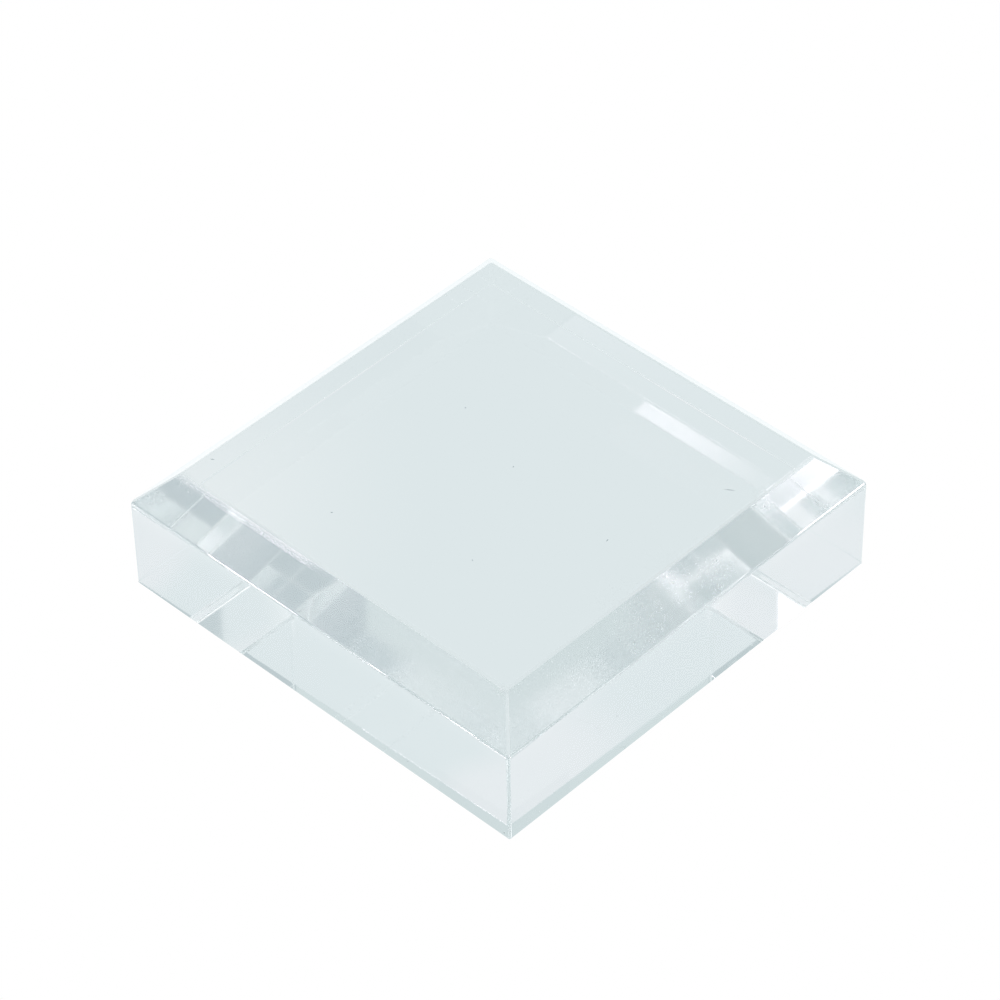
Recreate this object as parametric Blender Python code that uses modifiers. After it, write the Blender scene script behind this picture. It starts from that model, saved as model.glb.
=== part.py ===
"""Bevelled display block of clear cast acrylic.

A small museum and shop-display riser: one square piece cut from clear acrylic
sheet, sawn to size, bevelled at 45 degrees round its top face and polished on
every side. It is a single solid piece: nothing is bonded or screwed to it.

Units are metres and +Z is up. The origin is the centre of the base face, and
the sides of the block lie square to X and Y.
"""

import bmesh
import bpy

# Driving dimensions
SIDE = 0.070             # length of each side, over the flats
THICKNESS = 0.020        # thickness of the sheet that the block is cut from
BEVEL = 0.0052           # the 45 degree bevel takes this much off the top and off each side

# How far polishing has eased each kind of edge
CORNER_EASE = 0.00050    # the four upright corners, which are handled the most
ARRIS_EASE = 0.00035     # both edges of the bevel, and the mitres between its faces
BASE_EASE = 0.00010      # round the base, which is left nearly sharp
EASED_SEGMENTS = 4
TOLERANCE = 1e-6

# Clear acrylic
ACRYLIC_COLOUR = (0.87, 0.945, 0.955, 1.0)
ACRYLIC_ROUGHNESS = 0.03
ACRYLIC_IOR = 1.49

OBJECT_NAME = "acrylic_display_block"


def clear_scene():
    """Remove every object that the file was opened with."""
    for ob in list(bpy.data.objects):
        bpy.data.objects.remove(ob, do_unlink=True)


def new_collection(name):
    """Make a collection for the block and link it to the scene."""
    collection = bpy.data.collections.new(name)
    bpy.context.scene.collection.children.link(collection)
    return collection


def clear_acrylic():
    """Colourless cast acrylic, which is faintly blue-green through its thickness."""
    material = bpy.data.materials.new("clear_acrylic")
    material.use_nodes = True
    shader = material.node_tree.nodes["Principled BSDF"]
    shader.inputs["Base Color"].default_value = ACRYLIC_COLOUR
    shader.inputs["Roughness"].default_value = ACRYLIC_ROUGHNESS
    shader.inputs["Metallic"].default_value = 0.0
    shader.inputs["IOR"].default_value = ACRYLIC_IOR
    shader.inputs["Transmission Weight"].default_value = 1.0
    return material


def square_blank(bm):
    """The sawn blank: a square slab that stands on Z = 0."""
    bmesh.ops.create_cube(bm, size=1.0)
    bmesh.ops.scale(bm, vec=(SIDE, SIDE, THICKNESS), verts=bm.verts)
    bmesh.ops.translate(bm, vec=(0.0, 0.0, THICKNESS / 2), verts=bm.verts)


def cut_top_bevel(bm):
    """Cut the flat 45 degree bevel along the four edges of the top face."""
    rim = [edge for edge in bm.edges if lowest(edge) > THICKNESS - TOLERANCE]
    bmesh.ops.bevel(bm, geom=rim, offset=BEVEL, segments=1, affect='EDGES')


def lowest(edge):
    return min(vert.co.z for vert in edge.verts)


def highest(edge):
    return max(vert.co.z for vert in edge.verts)


def ease_of(edge):
    """How far polishing has eased this edge."""
    if highest(edge) < TOLERANCE:
        return BASE_EASE
    if lowest(edge) < TOLERANCE:
        return CORNER_EASE
    return ARRIS_EASE


def mark_eased_edges(bm):
    """Give each edge a bevel weight: its own ease as a share of the widest one."""
    weight = bm.edges.layers.float.new("bevel_weight_edge")
    for edge in bm.edges:
        edge[weight] = ease_of(edge) / CORNER_EASE


def ease_edges(block):
    """Round each edge by the weight that it was given."""
    eased = block.modifiers.new("eased_edges", 'BEVEL')
    eased.offset_type = 'OFFSET'
    eased.width = CORNER_EASE
    eased.segments = EASED_SEGMENTS
    eased.limit_method = 'WEIGHT'


def display_block():
    """The whole object: one bevelled and polished block of clear acrylic."""
    bm = bmesh.new()
    square_blank(bm)
    cut_top_bevel(bm)
    mark_eased_edges(bm)
    mesh = bpy.data.meshes.new("display_block")
    bm.to_mesh(mesh)
    bm.free()
    block = bpy.data.objects.new("display_block", mesh)
    block.data.materials.append(clear_acrylic())
    ease_edges(block)
    return block


def main():
    clear_scene()
    collection = new_collection(OBJECT_NAME)
    collection.objects.link(display_block())


main()
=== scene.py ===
"""Looks for the bevelled display block: clear cast acrylic on a pale studio floor."""

import math

import bmesh
import bpy
from mathutils import Matrix, Vector

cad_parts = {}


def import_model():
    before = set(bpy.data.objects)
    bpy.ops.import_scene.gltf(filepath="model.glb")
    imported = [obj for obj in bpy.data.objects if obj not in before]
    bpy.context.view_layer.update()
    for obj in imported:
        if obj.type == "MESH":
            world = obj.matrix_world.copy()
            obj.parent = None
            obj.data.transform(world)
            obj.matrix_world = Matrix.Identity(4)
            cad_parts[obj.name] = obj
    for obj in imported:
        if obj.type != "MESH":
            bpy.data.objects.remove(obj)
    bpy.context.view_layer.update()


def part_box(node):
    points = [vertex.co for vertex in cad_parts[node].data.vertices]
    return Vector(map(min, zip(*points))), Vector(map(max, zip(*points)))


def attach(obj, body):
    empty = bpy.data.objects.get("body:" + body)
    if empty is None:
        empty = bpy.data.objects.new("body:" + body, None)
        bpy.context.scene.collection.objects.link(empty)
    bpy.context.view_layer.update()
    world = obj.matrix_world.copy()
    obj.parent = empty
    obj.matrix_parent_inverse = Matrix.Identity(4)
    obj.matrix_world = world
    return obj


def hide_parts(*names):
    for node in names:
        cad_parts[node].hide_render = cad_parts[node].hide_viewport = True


NODE = "display_block"

# The block, in metres. Its side and thickness come from the frame.
BEVEL = 0.0052
CORNER_EASE = 0.00050
ARRIS_EASE = 0.00035
BASE_EASE = 0.00010
EASED_SEGMENTS = 6
TOLERANCE = 1e-6

# Acrylic. Lengths are in metres, and slopes are rise over run.
IOR = 1.49
ABSORPTION_COLOUR = (0.2, 0.8, 0.9, 1.0)
ABSORPTION_DENSITY = 0.12
SIDE_ROUGHNESS = 0.02
BEVEL_ROUGHNESS = 0.09

# Faces are told apart by how nearly their normal points straight up or down
CAST_NORMAL = 0.99
BEVEL_NORMALS = (0.6, 0.8)

# The middle of a noise, which runs from 0 to 1, and of a generated coordinate
MIDDLE = 0.5

# The bevels are less well buffed towards the front corner
DULL_PLACE = (0.0330, -0.0330, 0.0175)
DULL_REACH = (0.006, 0.038)
DULL_ROUGHNESS = 0.13

# Wear along the edges of the bevels, in a width that the grain varies
GRAIN_SCALE = 700.0
GRAIN_DETAIL = 3.0
WEAR_WIDTH = 0.00032
WEAR_ROUGHNESS = 0.10
WEAR_HAZE = 0.14

# A strip beside one upper edge that buffing has rolled over
ROLL_WIDTH = 0.00085
ROLL_SLOPE = 0.056
ROLL_PLACE = (-0.0185, -0.0298, 0.0200)
ROLL_REACH = (0.0110, 0.0200)
ROLL_HAZE = 0.60

# Fine marks of the buffing wheel, and broad waves: scales are along the edge and up the face
BUFF_SCALES = (60.0, 2600.0)
BUFF_DETAIL = 3.0
BUFF_HEIGHT = 6e-7
BUFF_ROUGHNESS = 0.06
WAVE_SCALES = (260.0, 60.0)
WAVE_DETAIL = 2.0
WAVE_LAYER = 1.0
WAVE_HEIGHT = 3.5e-6

# Fine curled scratches: strong in scuffed patches, and faint on all that was buffed
SCRATCH_SCALE = 1300.0
SCRATCH_DETAIL = 1.0
SCRATCH_DISTORTION = 1.0
SCRATCH_WIDTH = 0.013
SCRATCH_ROUGHNESS = 0.25
SCRATCH_HAZE = 0.38
FAINT_SCRATCHES = 0.02
SCUFF_HAZE = 0.04
SCUFF_ROUGHNESS = 0.10
SCUFF_RAGGEDNESS = 0.006
SCUFFS = (
    # place, fully scuffed within, clean beyond, strength
    ((0.0312, 0.0010, 0.0186), 0.0010, 0.0055, 0.65),
    ((0.0330, 0.0060, 0.0168), 0.0010, 0.0055, 0.80),
    ((0.0322, -0.0075, 0.0176), 0.0010, 0.0075, 0.75),
    ((-0.0316, -0.0332, 0.0166), 0.0002, 0.0026, 0.90),
    ((-0.0285, -0.0304, 0.0194), 0.0002, 0.0026, 0.90),
    ((-0.0170, -0.0327, 0.0171), 0.0008, 0.0050, 0.50),
    ((0.0330, 0.0180, 0.0170), 0.0006, 0.0030, 0.50),
    ((0.0300, 0.0192, 0.0199), 0.0008, 0.0018, 1.00),
    ((0.0350, 0.0086, 0.0003), 0.0003, 0.0008, 1.00),
    ((0.0350, 0.0121, 0.0003), 0.0003, 0.0008, 1.00),
    ((0.0298, -0.0298, 0.0200), 0.0004, 0.0009, 2.00),
)

# Dust lying on the top: place, turn (degrees), length and width
DUST_COLOUR = (0.30, 0.37, 0.40, 1.0)
DUST_SOFTNESS = 0.3
DUST_OPACITY = 0.8
DUST = (
    ((0.0260, 0.0170), 32.0, 0.0019, 0.00022),
    ((0.0207, -0.0011), 100.0, 0.0006, 0.00022),
    ((-0.0095, -0.0218), 40.0, 0.0005, 0.00024),
    ((-0.0110, 0.0051), 0.0, 0.0004, 0.00020),
    ((0.0019, 0.0009), 100.0, 0.0005, 0.00018),
    ((0.0104, -0.0158), 150.0, 0.0004, 0.00018),
    ((-0.0286, -0.0253), 35.0, 0.0008, 0.00022),
)

# Camera: angles are in degrees, distances in units of the block's side, and the lens and
# its sensor in millimetres
CAMERA_AZIMUTH = 44.326
CAMERA_ELEVATION = 42.76
CAMERA_ROLL = -1.041
CAMERA_DISTANCE = 8.1004
CAMERA_AIM_HEIGHT = 0.12
CAMERA_AIM_SHIFT = (0.0009, 0.05238)
CAMERA_LENS = 151.2
CAMERA_SENSOR = 36.0
CAMERA_CLIP = (0.01, 20.0)

# Studio: lengths are in metres, angles in degrees. Radiances are linear, and 1 is the
# white of the backdrop. A patch that is added may also be negative, and takes light away
SKY = (0.70, 0.775, 0.785)
SKY_LOBES = (
    # azimuth, elevation, full within, gone beyond, radiance added
    (178.0, 30.0, 10.0, 35.0, (-0.245, -0.240, -0.220)),
    (-90.0, 30.0, 10.0, 35.0, (-0.165, -0.160, -0.155)),
    (100.0, 31.0, 8.0, 16.0, (0.310, 0.250, 0.260)),
    (131.0, 43.0, 6.0, 22.0, (-0.220, -0.215, -0.200)),
    (-134.0, 45.0, 6.0, 20.0, (-0.070, -0.060, -0.060)),
    (-41.0, 60.0, 15.5, 18.0, (-0.220, -0.210, -0.200)),
    (-46.0, 23.0, 7.0, 17.0, (0.800, 0.720, 0.730)),
)
SOFTBOX_AZIMUTH = -41.0
SOFTBOX_ELEVATION = 38.2
SOFTBOX_DISTANCE = 1.07
SOFTBOX_SIZE = (0.176, 0.234)
SOFTBOX_SIDE_FADE = 0.15
SOFTBOX_TILT = 8.84
SOFTBOX_RADIANCE = (5.6, 4.7, 5.2)
SOFTBOX_FULL_BELOW = 0.08
SOFTBOX_NONE_ABOVE = 0.95
FLOOR_SIZE = 4.0
FLOOR_GAP = 0.0002
# The floor's glow is painted light: painted shade round the block's foot, rising to lit further out
FLOOR_SHADED = (0.735, 0.808, 0.825)
FLOOR_LIT = (1.15, 1.17, 1.18)
FLOOR_SHADE_FROM = 0.042
FLOOR_SHADE_TO = 0.060
# Painted glints: pools of light painted on the floor where light through the block would fall
FLOOR_GLINTS = (
    # under the block or beside it, place, full within, gone beyond, radiance added
    (True, (-0.045, -0.035), 0.005, 0.050, (0.090, 0.065, 0.060)),
    (False, (-0.040, 0.004), 0.005, 0.022, (0.080, 0.045, 0.050)),
    (False, (0.006, 0.036), 0.008, 0.015, (0.075, 0.040, 0.045)),
)
CLEAR_WHITE = (1.0, 1.0, 1.0, 1.0)
LIGHT_BOUNCES = 48

# Where a colour Mix node keeps its factor, its two colours and its result
MIX_INPUTS = (0, 6, 7)
MIX_OUTPUT = 2


def direction(azimuth, elevation):
    """Unit vector from the block towards an azimuth (0 is -Y, 90 is +X) and elevation, in degrees."""
    turn, rise = math.radians(azimuth), math.radians(elevation)
    return Vector((
        math.sin(turn) * math.cos(rise),
        -math.cos(turn) * math.cos(rise),
        math.sin(rise)))


def facing_matrix(place, right, up, back):
    """The matrix that puts an object at a place, with its own axes along right, up and back."""
    return Matrix.Translation(place) @ Matrix((right, up, back)).transposed().to_4x4()


def mesh_object(name, bm):
    """Turns a bmesh into an object in the scene, and frees it."""
    mesh = bpy.data.meshes.new(name)
    bm.to_mesh(mesh)
    bm.free()
    ob = bpy.data.objects.new(name, mesh)
    bpy.context.scene.collection.objects.link(ob)
    return ob


def ease_of(edge):
    """How far polishing has eased this edge: least round the base, most on the upright corners."""
    heights = [vert.co.z for vert in edge.verts]
    if max(heights) < TOLERANCE:
        return BASE_EASE
    if min(heights) < TOLERANCE:
        return CORNER_EASE
    return ARRIS_EASE


def polished_block(name, low, high):
    """The block as one closed solid: bevelled round its top, every edge finely rounded."""
    bm = bmesh.new()
    bmesh.ops.create_cube(bm, size=1.0)
    bmesh.ops.scale(bm, vec=high - low, verts=bm.verts)
    bmesh.ops.translate(bm, vec=(low + high) / 2, verts=bm.verts)
    rim = [e for e in bm.edges if all(v.co.z > high.z - TOLERANCE for v in e.verts)]
    bmesh.ops.bevel(bm, geom=rim, offset=BEVEL, segments=1, affect='EDGES')
    weight = bm.edges.layers.float.new("bevel_weight_edge")
    for edge in bm.edges:
        edge[weight] = ease_of(edge) / CORNER_EASE
    ob = mesh_object(name, bm)
    for polygon in ob.data.polygons:
        polygon.use_smooth = True
    eased = ob.modifiers.new("eased_edges", 'BEVEL')
    eased.width = CORNER_EASE
    eased.segments = EASED_SEGMENTS
    eased.limit_method = 'WEIGHT'
    eased.harden_normals = True
    return ob


class Graph:
    """A node tree, with short ways to add to it. A value is a number, a colour or an output."""

    def __init__(self, owner):
        owner.use_nodes = True
        self.nodes = owner.node_tree.nodes
        self.links = owner.node_tree.links

    def add(self, kind, **settings):
        """A new node of this kind, with its settings."""
        node = self.nodes.new("ShaderNode" + kind)
        for name, setting in settings.items():
            setattr(node, name, setting)
        return node

    def feed(self, socket, value):
        """Links an output to the socket, or sets the socket to a plain value."""
        if isinstance(value, bpy.types.NodeSocket):
            self.links.new(value, socket)
        else:
            socket.default_value = value

    def math(self, operation, *values):
        node = self.add("Math", operation=operation)
        for socket, value in zip(node.inputs, values):
            self.feed(socket, value)
        return node.outputs[0]

    def total(self, *values):
        result = values[0]
        for value in values[1:]:
            result = self.math('ADD', result, value)
        return result

    def product(self, *values):
        result = values[0]
        for value in values[1:]:
            result = self.math('MULTIPLY', result, value)
        return result

    def vector(self, operation, first, second, output="Vector"):
        node = self.add("VectorMath", operation=operation)
        self.feed(node.inputs[0], first)
        self.feed(node.inputs["Scale" if operation == 'SCALE' else 1], second)
        return node.outputs[output]

    def distance(self, first, second):
        return self.vector('DISTANCE', first, second, "Value")

    def length(self, vector):
        node = self.add("VectorMath", operation='LENGTH')
        self.feed(node.inputs[0], vector)
        return node.outputs["Value"]

    def split(self, vector):
        node = self.add("SeparateXYZ")
        self.feed(node.inputs[0], vector)
        return node.outputs

    def join(self, x, y, z):
        node = self.add("CombineXYZ")
        for socket, value in zip(node.inputs, (x, y, z)):
            self.feed(socket, value)
        return node.outputs[0]

    def mask(self, value, low, high):
        """Rises smoothly from 0 where value is low to 1 where it is high."""
        ramp = self.add("MapRange", interpolation_type='SMOOTHSTEP')
        for name, setting in (("Value", value), ("From Min", low), ("From Max", high)):
            self.feed(ramp.inputs[name], setting)
        return ramp.outputs["Result"]

    def mix(self, factor, first, second):
        """The first colour where factor is 0, the second where it is 1."""
        node = self.add("Mix", data_type='RGBA')
        for index, value in zip(MIX_INPUTS, (factor, first, second)):
            self.feed(node.inputs[index], value)
        return node.outputs[MIX_OUTPUT]

    def noise(self, vector, detail, scale=1.0, distortion=0.0):
        node = self.add("TexNoise")
        for name, value in (("Vector", vector), ("Scale", scale), ("Detail", detail),
                            ("Distortion", distortion)):
            self.feed(node.inputs[name], value)
        return node.outputs["Fac"]


def buffed_faces(graph):
    """Masks of the sawn and buffed faces, which aren't the cast top and base, and of the bevels."""
    geometry = graph.add("NewGeometry")
    upright = graph.math('ABSOLUTE', graph.split(geometry.outputs["True Normal"])["Z"])
    buffed = graph.math('LESS_THAN', upright, CAST_NORMAL)
    steep, flat = BEVEL_NORMALS
    bevel = graph.product(graph.math('GREATER_THAN', upright, steep),
                          graph.math('LESS_THAN', upright, flat))
    return buffed, bevel


def edge_reach(graph, place, half, height):
    """Distances to the nearest edge of a bevel, and out from the bevels' upper edge."""
    x, y, z = graph.split(place)
    across, along = graph.math('ABSOLUTE', x), graph.math('ABSOLUTE', y)
    outer = graph.math('MAXIMUM', across, along)
    inner = graph.math('MINIMUM', across, along)
    inset = graph.math('SUBTRACT', half, outer)
    past_top = graph.math('SUBTRACT', outer, half - BEVEL)
    below_top = graph.math('MAXIMUM', graph.math('SUBTRACT', height - BEVEL, z), 0.0)
    off_bevel = graph.math('MAXIMUM', graph.product(past_top, -1.0), 0.0)
    from_upper_edge = graph.total(graph.math('ABSOLUTE', past_top), below_top)
    from_lower_edge = graph.total(
        graph.math('ABSOLUTE', graph.math('SUBTRACT', z, height - BEVEL)), inset)
    from_mitre = graph.total(graph.math('SUBTRACT', outer, inner), off_bevel, below_top)
    nearest = graph.math('MINIMUM', graph.math('MINIMUM', from_upper_edge, from_lower_edge), from_mitre)
    return nearest, past_top


def nearness(graph, place, middle, inner, outer):
    """1 within the inner distance of a point, falling smoothly to 0 beyond the outer one."""
    return graph.mask(graph.distance(place, middle), outer, inner)


def scuffing(graph, place, grain):
    """How scuffed the surface is here: 1 in the middle of the worst patches, 0 where it's clean."""
    ragged = graph.product(graph.math('SUBTRACT', grain, MIDDLE), SCUFF_RAGGEDNESS)
    worst = 0.0
    for middle, inner, outer, strength in SCUFFS:
        away = graph.math('ADD', graph.distance(place, middle), ragged)
        patch = graph.product(graph.mask(away, outer, inner), strength)
        worst = graph.math('MAXIMUM', patch, worst)
    return worst


def dust(graph, place, height):
    """A mask of the specks and the one fibre lying on the top."""
    x, y, z = graph.split(place)
    covered = 0.0
    for (middle_x, middle_y), turn, length, width in DUST:
        cos, sin = math.cos(math.radians(turn)), math.sin(math.radians(turn))
        dx = graph.math('SUBTRACT', x, middle_x)
        dy = graph.math('SUBTRACT', y, middle_y)
        lengthwise = graph.total(graph.product(dx, cos), graph.product(dy, sin))
        crosswise = graph.total(graph.product(dx, -sin), graph.product(dy, cos))
        reach = graph.length(graph.join(graph.product(lengthwise, 2 / length),
                                        graph.product(crosswise, 2 / width), 0.0))
        covered = graph.math('MAXIMUM', graph.mask(reach, 1.0, DUST_SOFTNESS), covered)
    on_top = graph.math('GREATER_THAN', z, height - TOLERANCE)
    return graph.product(covered, on_top)


def buffing(graph, place):
    """Noise for the fine marks of the buffing wheel, and for the broad waves that it leaves."""
    x, y, z = graph.split(place)

    # On a side, x + y changes only along the edge, and z only across it. On a bevel x + y
    # changes across it too, which slants the waves but is far too slow to turn the marks
    along = graph.math('ADD', x, y)
    streaks = graph.noise(
        graph.join(graph.product(along, BUFF_SCALES[0]), graph.product(z, BUFF_SCALES[1]), 0.0),
        BUFF_DETAIL)
    waves = graph.noise(
        graph.join(graph.product(along, WAVE_SCALES[0]), graph.product(z, WAVE_SCALES[1]), WAVE_LAYER),
        WAVE_DETAIL)
    return streaks, waves


def scratching(graph, place, buffed, scuffed):
    """Curled scratches, which follow the lines where a noise passes through its middle."""
    curls = graph.noise(place, SCRATCH_DETAIL, SCRATCH_SCALE, SCRATCH_DISTORTION)
    ridge = graph.math('ABSOLUTE', graph.math('SUBTRACT', curls, MIDDLE))
    strength = graph.math('MAXIMUM', scuffed, graph.product(buffed, FAINT_SCRATCHES))
    return graph.product(graph.mask(ridge, SCRATCH_WIDTH, 0.0), strength)


def rolled_strip(graph, place, bevel, past_top):
    """How far inside the rolled-over strip: its full width at the upper edge, 0 outside it."""
    inside = graph.math('MAXIMUM', graph.math('SUBTRACT', ROLL_WIDTH, past_top), 0.0)
    return graph.product(bevel, inside, nearness(graph, place, ROLL_PLACE, *ROLL_REACH))


def tint(graph):
    """The weak colour that light takes on as it crosses the acrylic."""
    volume = graph.add("VolumeAbsorption")
    volume.inputs["Color"].default_value = ABSORPTION_COLOUR
    volume.inputs["Density"].default_value = ABSORPTION_DENSITY
    graph.feed(graph.nodes["Material Output"].inputs["Volume"], volume.outputs["Volume"])


def acrylic(half, height):
    """Clear cast acrylic: glassy top and base, buffed sides and bevels, worn edges and scuffs."""
    material = bpy.data.materials.new("polished_acrylic")
    graph = Graph(material)
    place = graph.add("TexCoord").outputs["Object"]
    buffed, bevel = buffed_faces(graph)
    nearest, past_top = edge_reach(graph, place, half, height)
    streaks, waves = buffing(graph, place)
    grain = graph.noise(place, GRAIN_DETAIL, GRAIN_SCALE)
    wear = graph.mask(nearest, graph.product(grain, WEAR_WIDTH / MIDDLE), 0.0)
    scuffed = scuffing(graph, place, grain)
    scratch = scratching(graph, place, buffed, scuffed)
    rolled = rolled_strip(graph, place, bevel, past_top)
    dull = graph.product(bevel, nearness(graph, place, DULL_PLACE, *DULL_REACH))
    specks = graph.product(dust(graph, place, height), DUST_OPACITY)

    shader = graph.nodes["Principled BSDF"]
    shader.inputs["IOR"].default_value = IOR
    graph.feed(shader.inputs["Base Color"], graph.mix(specks, CLEAR_WHITE, DUST_COLOUR))
    graph.feed(shader.inputs["Roughness"], graph.total(
        graph.product(buffed, SIDE_ROUGHNESS),
        graph.product(bevel, BEVEL_ROUGHNESS - SIDE_ROUGHNESS),
        graph.product(buffed, graph.math('SUBTRACT', streaks, MIDDLE), BUFF_ROUGHNESS),
        graph.product(dull, DULL_ROUGHNESS),
        graph.product(wear, WEAR_ROUGHNESS),
        graph.product(scuffed, SCUFF_ROUGHNESS),
        graph.product(scratch, SCRATCH_ROUGHNESS),
        specks))
    haze = graph.total(
        graph.product(wear, WEAR_HAZE),
        graph.product(scuffed, SCUFF_HAZE),
        graph.product(scratch, SCRATCH_HAZE),
        graph.product(rolled, ROLL_HAZE / ROLL_WIDTH),
        specks)
    graph.feed(shader.inputs["Transmission Weight"], graph.math('SUBTRACT', 1.0, haze))

    bump = graph.add("Bump")
    bump.inputs["Distance"].default_value = 1.0
    graph.feed(bump.inputs["Height"], graph.total(
        graph.product(buffed, streaks, BUFF_HEIGHT),
        graph.product(buffed, waves, WAVE_HEIGHT),
        graph.product(rolled, -ROLL_SLOPE)))
    graph.feed(shader.inputs["Normal"], bump.outputs["Normal"])
    tint(graph)
    return material


def make_camera(side):
    """The camera, rolled a little about its own axis."""
    back = direction(CAMERA_AZIMUTH, CAMERA_ELEVATION)
    level = direction(CAMERA_AZIMUTH + 90, 0)
    upright = back.cross(level)
    roll = math.radians(CAMERA_ROLL)
    right = math.cos(roll) * level + math.sin(roll) * upright
    up = -math.sin(roll) * level + math.cos(roll) * upright
    shift_x, shift_y = CAMERA_AIM_SHIFT
    aim = Vector((0, 0, CAMERA_AIM_HEIGHT)) + right * shift_x + up * shift_y
    place = (aim + back * CAMERA_DISTANCE) * side
    data = bpy.data.cameras.new("camera")
    data.lens = CAMERA_LENS
    data.sensor_width = CAMERA_SENSOR
    data.clip_start, data.clip_end = CAMERA_CLIP
    camera = bpy.data.objects.new("camera", data)
    camera.matrix_world = facing_matrix(place, right, up, back)
    bpy.context.scene.collection.objects.link(camera)
    bpy.context.scene.camera = camera


def glowing_material(name):
    """An empty material that only glows, with its graph and its emission shader."""
    material = bpy.data.materials.new(name)
    graph = Graph(material)
    graph.nodes.remove(graph.nodes["Principled BSDF"])
    emission = graph.add("Emission")
    graph.feed(graph.nodes["Material Output"].inputs["Surface"], emission.outputs["Emission"])
    return material, graph, emission


def unless_seen(graph, colour):
    """White where the camera sees the studio directly, and colour in everything the block shows."""
    return graph.mix(graph.add("LightPath").outputs["Is Camera Ray"], colour, CLEAR_WHITE)


def floor(half):
    """A glowing floor, plain white to the camera. What the block shows of it is shaded near its foot."""
    bm = bmesh.new()
    bmesh.ops.create_grid(bm, x_segments=1, y_segments=1, size=FLOOR_SIZE / 2)
    ob = mesh_object("floor", bm)
    ob.location.z = -FLOOR_GAP
    material, graph, emission = glowing_material("pale_floor")
    place = graph.add("TexCoord").outputs["Object"]
    x, y, _ = graph.split(place)
    # Painted shade near the block's foot, fading to the lit glow further out
    away = graph.math('MAXIMUM', graph.math('ABSOLUTE', x), graph.math('ABSOLUTE', y))
    lit = graph.mask(away, FLOOR_SHADE_FROM, FLOOR_SHADE_TO)
    glow = graph.mix(lit, (*FLOOR_SHADED, 1.0), (*FLOOR_LIT, 1.0))
    beside = graph.math('GREATER_THAN', away, half)
    under = graph.math('SUBTRACT', 1.0, beside)
    # Painted glints: pools of light added under the block and beside it
    for is_under, (glint_x, glint_y), inner, outer, colour in FLOOR_GLINTS:
        strength = graph.product(nearness(graph, place, (glint_x, glint_y, 0.0), inner, outer),
                                 under if is_under else beside)
        glow = graph.vector('ADD', glow, graph.vector('SCALE', colour, strength))
    graph.feed(emission.inputs["Color"], unless_seen(graph, glow))
    ob.data.materials.append(material)


def world():
    """The studio's soft surround, with round patches of more or less light."""
    studio = bpy.data.worlds.new("studio")
    bpy.context.scene.world = studio
    graph = Graph(studio)
    towards = graph.add("TexCoord").outputs["Generated"]
    glow = SKY
    for azimuth, elevation, inner, outer, colour in SKY_LOBES:
        facing = graph.vector('DOT_PRODUCT', towards, direction(azimuth, elevation), "Value")
        lobe = graph.mask(facing, math.cos(math.radians(outer)), math.cos(math.radians(inner)))
        glow = graph.vector('ADD', glow, graph.vector('SCALE', colour, lobe))
    graph.feed(graph.nodes["Background"].inputs["Color"], unless_seen(graph, glow))


def softbox():
    """The key light: a card that glows most along its lower edge and fades into the sky above."""
    width, height = SOFTBOX_SIZE
    bm = bmesh.new()
    bmesh.ops.create_grid(bm, x_segments=1, y_segments=1, size=1.0)
    bmesh.ops.scale(bm, vec=(width / 2, height / 2, 1.0), verts=bm.verts)
    ob = mesh_object("softbox", bm)
    towards = direction(SOFTBOX_AZIMUTH, SOFTBOX_ELEVATION)
    level = direction(SOFTBOX_AZIMUTH + 90, 0)
    upright = towards.cross(level)
    tilt = math.radians(SOFTBOX_TILT)
    right = math.cos(tilt) * level + math.sin(tilt) * upright
    up = towards.cross(right)
    ob.matrix_world = facing_matrix(towards * SOFTBOX_DISTANCE, right, up, towards)
    material, graph, emission = glowing_material("softbox_glow")
    across, height_on_card, _ = graph.split(graph.add("TexCoord").outputs["Generated"])
    off_centre = graph.math('ABSOLUTE', graph.math('SUBTRACT', across, MIDDLE))
    from_side = graph.math('SUBTRACT', MIDDLE, off_centre)
    emission.inputs["Color"].default_value = (*SOFTBOX_RADIANCE, 1.0)
    graph.feed(emission.inputs["Strength"], graph.product(
        graph.mask(height_on_card, SOFTBOX_NONE_ABOVE, SOFTBOX_FULL_BELOW),
        graph.mask(from_side, 0.0, SOFTBOX_SIDE_FADE)))

    # The card only adds light: the sky shows through it
    both = graph.add("AddShader")
    graph.feed(both.inputs[0], emission.outputs["Emission"])
    graph.feed(both.inputs[1], graph.add("BsdfTransparent").outputs["BSDF"])
    graph.feed(graph.nodes["Material Output"].inputs["Surface"], both.outputs["Shader"])
    ob.data.materials.append(material)
    ob.visible_camera = False


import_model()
scene = bpy.context.scene
scene.view_settings.view_transform = 'Standard'
scene.cycles.max_bounces = LIGHT_BOUNCES
scene.cycles.glossy_bounces = LIGHT_BOUNCES
scene.cycles.transmission_bounces = LIGHT_BOUNCES
low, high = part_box(NODE)
block = polished_block("polished_block", Vector(low), Vector(high))
block.data.materials.append(acrylic(high[0], high[2]))
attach(block, "root")
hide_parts(NODE)
make_camera(high[0] - low[0])
floor(high[0])
world()
softbox()
